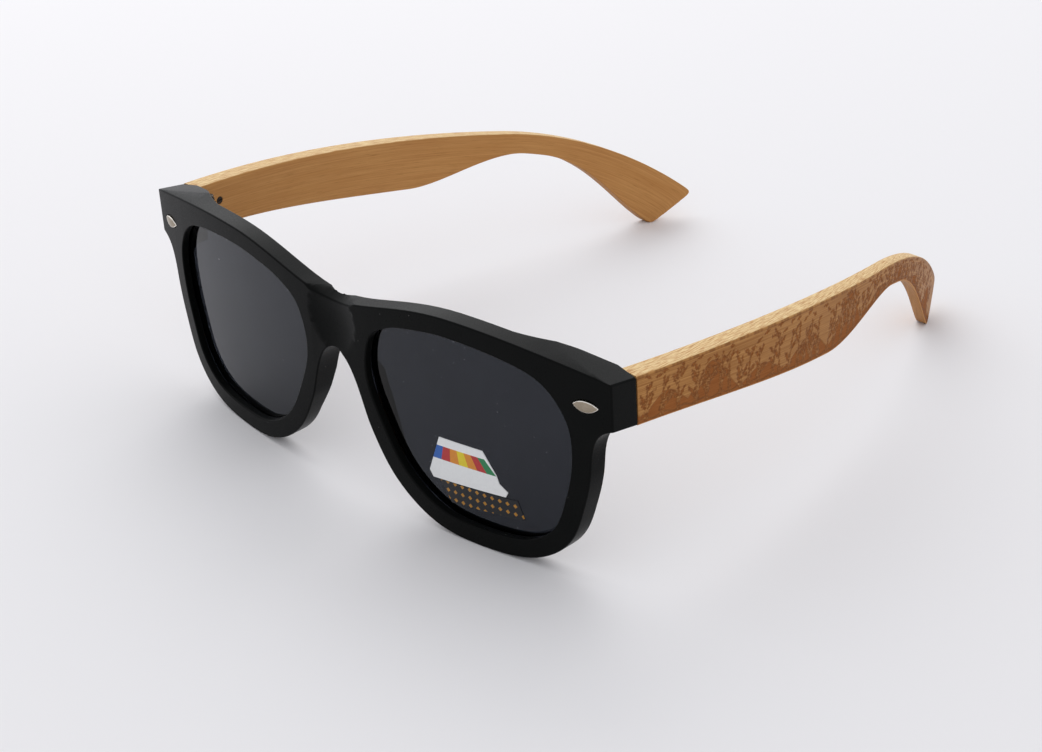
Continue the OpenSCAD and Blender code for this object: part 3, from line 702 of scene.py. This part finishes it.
tree.links.new(colour, shader.inputs["Base Color"])
tree.links.new(rough.outputs["Result"], shader.inputs["Roughness"])
tree.links.new(relief.outputs["Normal"], shader.inputs["Normal"])
shader.inputs["IOR"].default_value = 1.45
shader.inputs["Specular IOR Level"].default_value = 0.09
print("made", bamboo.name)

# %% [markdown]
# The columns of the grid go once round the cross-section: bottom, outer side, top, inner side, bottom.
# Each column is a depth under the top edge and an offset from the middle of the strip.
# Depth changes with the height of the row, so it is kept as a fixed part and a share of that height.

# %% Cross-section of the temple
half_t = temple_t / 2
round_steps, outer_steps, top_steps, inner_steps = 4, 62, 4, 10
arc = np.linspace(0, math.pi / 2, round_steps + 1)[1:]
columns = [(0, 1, 0.0), (0, 1, (half_t - edge_round) / 2), (0, 1, half_t - edge_round)]
columns += [(edge_round * (math.cos(a) - 1), 1, half_t - edge_round * (1 - math.sin(a))) for a in arc]
columns += [(edge_round * (1 - 2 * f), f, half_t) for f in np.linspace(1, 0, outer_steps + 1)[1:]]
columns += [(edge_round * (1 - math.sin(a)), 0, half_t - edge_round * (1 - math.cos(a))) for a in arc]
columns += [(0, 0, t) for t in np.linspace(half_t - edge_round, edge_round - half_t, top_steps + 1)[1:]]
columns += [(edge_round * (1 - math.cos(a)), 0, edge_round * (1 - math.sin(a)) - half_t) for a in arc]
columns += [(edge_round * (1 - 2 * f), f, -half_t) for f in np.linspace(0, 1, inner_steps + 1)[1:]]
columns += [(edge_round * (math.sin(a) - 1), 1, edge_round * (1 - math.cos(a)) - half_t) for a in arc]
columns += [(0, 1, (edge_round - half_t) / 2), (0, 1, 0.0)]
fixed, share, offset = np.array(columns).T
outer = np.abs(offset - half_t) < 1e-6
edge_columns = np.abs(offset) < half_t - edge_round / 2
# The outer corner of the top edge is scorched all along.
brim = np.where((offset > half_t - edge_round / 2) & (share < 0.03), 0.8, 0.0)
print(len(columns), "columns,", outer.sum(), "of them on the outer side")

# %% [markdown]
# Every row is a straight line from the top edge to the bottom edge of the side view.
# At the tip, four more rows draw in, so that its edge is slightly broken.
# Seen from above, the outer and the inner face are two like arcs that draw together toward the tip.
# A point's depth and offset then give its place between them, and the strip is tipped by the small
# angle at which the glasses stand. At the joint, the first rows are trimmed square to the strip.


# %% Rows of the temple
# Sizes in mm: depth of the burning, air at the joint, length of the trimmed rows.
burnt_depth, joint_gap, trim_run = 0.10, 0.1, 12
near_tip = 600
taper = math.asin((temple_t - tip_t) / (tip_top[0] - end_reach))
inner_r = bow_r - half_t
inner_x = half_w - temple_t * math.cos(butt) - inner_r * math.cos(butt + taper)
inner_y = end_reach + temple_t * math.sin(butt) + inner_r * math.sin(butt + taper)


def across(y, side):
    outer_face = bow_x + np.sqrt((bow_r + half_t) ** 2 - (y - bow_y) ** 2)
    inner_face = inner_x + np.sqrt(inner_r ** 2 - (y - inner_y) ** 2)
    return inner_face + (outer_face - inner_face) * (side + half_t) / temple_t


def temple_shape(seed):
    # At the tip the rows step in by its broken edge, square to the end of the strip.
    back = tip_way[::-1] * (1, -1)
    back = back * np.sign(np.dot(back, tops[-1] - tops[near_tip]))
    pull = np.concatenate([np.zeros(straight_rows), np.linspace(0, 1, round_rows + 1)[1:]])
    pull = pull[:, None] * tip_edge
    upper, lower = (
        np.concatenate([line - pull * back] + [line[-1:] - (1 - math.sin(a)) * tip_edge * back for a in arc])
        for line in (tops, lows)
    )
    draw_in = np.concatenate([np.zeros(len(tops)), tip_edge * (1 - np.cos(arc))])[:, None]
    height = np.linalg.norm(lower - upper, axis=1)[:, None]
    down = (lower - upper) / height
    steps = np.linalg.norm(np.diff(upper, axis=0), axis=1)
    along = np.concatenate([[0], np.cumsum(steps)])[:, None] + 0 * fixed
    deep = fixed + share * height
    deep = height / 2 + (deep - height / 2) * (height / 2 - draw_in) / (height / 2)
    side = offset * (half_t - draw_in) / half_t
    burnt = np.zeros_like(deep)
    burnt[:, outer] = burnt_reeds(along[:, outer], deep[:, outer], height + 0 * deep[:, outer], seed)
    burnt[straight_rows:] *= np.linspace(1, 0, len(burnt) - straight_rows)[:, None]
    side = side - burnt_depth * burnt
    y = upper[:, :1] + down[:, :1] * deep
    z = upper[:, 1:] + down[:, 1:] * deep
    x = across(y, side)
    # The first rows slide along the strip to its square end at the joint.
    trim = 1 - ease(along / trim_run)
    square = end_reach + (joint_gap - (x - half_w) * math.sin(butt)) / math.cos(butt)
    y = y + (square - joint_y) * trim
    x = across(y, side)
    places = np.stack([
        x,
        y * math.cos(lean) - z * math.sin(lean) - middle_y,
        y * math.sin(lean) + z * math.cos(lean) - floor_drop,
    ], -1) * MM
    # The way round the strip in mm, for the UV map. The bottom edge goes on from the side next to it.
    round_way = np.where(offset > 0, deep + side - half_t, -deep + side - half_t)
    low_side = np.where(offset > 0, deep + half_t - side, -deep - half_t - temple_t - side)
    girth = np.where((share > 0.999) & (np.abs(offset) < half_t - 1e-6), low_side, round_way)
    return places, along, girth, burnt


left_seed, right_seed = 3, 8
left_burnt = temple_shape(left_seed)[3]
print("burnt share of the left temple's outer side", round(float(left_burnt[:, outer].mean()), 2))

# %% [markdown]
# Close to the joint, the strip has a slot for the hinge leaf, a notch for the web of its knuckle
# and a hole for the small screw. They are cut by plain blocks and a cylinder with a boolean,
# placed in the leaf's own directions: outwards, along the strip, and up.

# %% Cutters at the joint
leaf_angle = math.radians(4.642)
pin = Vector((63.7525, 18.4443, 39.85))
leaf_face, leaf_back, leaf_t = 1.552, 3.352, 0.9
# Sizes in mm, counted from the pin: the start of both cuts, the end and half height of the slot
# with its slack, the end and half height of the notch and how far it opens inwards.
cut_start, slot_end, slot_half, slack = -3, -0.9, 2.42, 0.02
notch_end, notch_half, notch_open = 2.3, 1.45, 1
# The screw's hole: its place along the strip, radius and length, and how far its middle lies
# inwards of the leaf's face.
hole_at, hole_r, hole_l, hole_in = 4.4, 0.92, 1.55, 0.225
hole_sides = 48
tilt = Matrix.Rotation(lean, 4, "X")
stand = Matrix.Translation((0, -middle_y, -floor_drop)) @ tilt
leaf_frame = stand @ Matrix.Translation(pin) @ Matrix.Rotation(-leaf_angle, 4, "Z")


def joint_cutters(side):
    blocks = [
        ((leaf_back - leaf_t - slack, cut_start, -slot_half), (leaf_back + slack, slot_end, slot_half)),
        ((leaf_face - notch_open, cut_start, -notch_half), (leaf_back, notch_end, notch_half)),
    ]
    made = []
    bpy.ops.object.select_all(action="DESELECT")
    for low, high in blocks:
        bpy.ops.mesh.primitive_cube_add(size=1)
        made.append(bpy.context.object)
        made[-1].data.transform(Matrix.Translation((Vector(low) + Vector(high)) / 2)
                                @ Matrix.Diagonal((*(Vector(high) - Vector(low)), 1)))
    bpy.ops.mesh.primitive_cylinder_add(vertices=hole_sides, radius=hole_r, depth=hole_l)
    made.append(bpy.context.object)
    made[-1].data.transform(Matrix.Translation((leaf_face - hole_in, hole_at, 0))
                            @ Matrix.Rotation(math.pi / 2, 4, "Y"))
    mirror = Matrix.Diagonal((-1 if side == "right" else 1, 1, 1, 1))
    for cutter in made:
        cutter.data.transform(Matrix.Scale(MM, 4) @ mirror @ leaf_frame)
        if side == "right":
            cutter.data.flip_normals()
    return made


print("pin of the left hinge at", [round(c, 2) for c in stand @ pin])

# %% [markdown]
# The grid is added flat, and each of its points is then moved to its place on the strip.
# The strip's own UV map and the burnt values are written in the same order.
# After that the seam along the bottom is merged, the two ends are closed, and the normals are set outwards,
# which matters for the right temple because it is mirrored.


# %% Temples
# Free margins of the UV map in mm, so that all of it lies between 0 and 1.
margin_along, margin_round = 5, 60
strip_smooth_deg = 40


def temple_strip(side, seed):
    places, along, girth, burnt = temple_shape(seed)
    row_count, column_count = along.shape
    bpy.ops.object.select_all(action="DESELECT")
    bpy.ops.mesh.primitive_grid_add(
        x_subdivisions=column_count - 1, y_subdivisions=row_count - 1, size=temple_l * MM)
    strip = bpy.context.object
    strip.name = f"temple_{side}_strip"
    mesh = strip.data
    mesh.name = strip.name
    if side == "right":
        places = places * (-1, 1, 1)
    mesh.vertices.foreach_set("co", places.reshape(-1))
    corner_points = np.zeros(len(mesh.loops), np.int32)
    mesh.loops.foreach_get("vertex_index", corner_points)
    mesh.uv_layers[0].name = "strip"
    laid_out = np.stack([along.reshape(-1) + margin_along, girth.reshape(-1) + margin_round], -1) / uv_span
    mesh.uv_layers["strip"].data.foreach_set("uv", laid_out[corner_points].reshape(-1))
    uneven = 0.6 + 0.4 * np.sin(along * 1.3 + np.sin(along * 4.1))
    # A dark band at the brink of each burnt patch, painted shade of the relief's step, and the scorched
    # outer corner of the top edge.
    brink_shade_and_scorch = np.maximum(4 * burnt * (1 - burnt), brim * uneven)
    # The top edge alone is pale: cut grain, and partly a painted highlight.
    top_edge_and_highlight = np.where(edge_columns & (share < 0.5), 1.0, 0.0) + 0 * along
    # Smoke tan on the outer side, and painted shade on the bottom edge.
    smoke_tan_and_shade = np.where(outer | (edge_columns & (share > 0.5)), 1.0, 0.0) + 0 * along
    for name, values in (("burn", burnt), ("shade_and_scorch", brink_shade_and_scorch), ("sawn_top_and_highlight", top_edge_and_highlight), ("smoke_and_shade", smoke_tan_and_shade)):
        mesh.attributes.new(name, "FLOAT", "POINT").data.foreach_set("value", values.reshape(-1))
    only(strip)
    bpy.ops.object.mode_set(mode="EDIT")
    bpy.ops.mesh.select_all(action="SELECT")
    bpy.ops.mesh.remove_doubles(threshold=1e-6)
    bpy.ops.mesh.select_all(action="SELECT")
    bpy.ops.mesh.fill_holes(sides=0)
    bpy.ops.mesh.select_all(action="SELECT")
    bpy.ops.mesh.normals_make_consistent(inside=False)
    bpy.ops.object.mode_set(mode="OBJECT")
    for cutter in joint_cutters(side):
        cut = strip.modifiers.new("joint", "BOOLEAN")
        cut.operation = "DIFFERENCE"
        cut.solver = "EXACT"
        cut.object = cutter
        only(strip)
        bpy.ops.object.modifier_apply(modifier="joint")
        bpy.data.objects.remove(cutter)
    bpy.ops.object.shade_smooth_by_angle(angle=math.radians(strip_smooth_deg))
    mesh.materials.clear()
    mesh.materials.append(bamboo)
    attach(strip, f"temple_arm_{side}")
    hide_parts(f"temple_{side}")
    print(strip.name, len(mesh.polygons), "faces")


for side, seed in (("left", left_seed), ("right", right_seed)):
    temple_strip(side, seed)
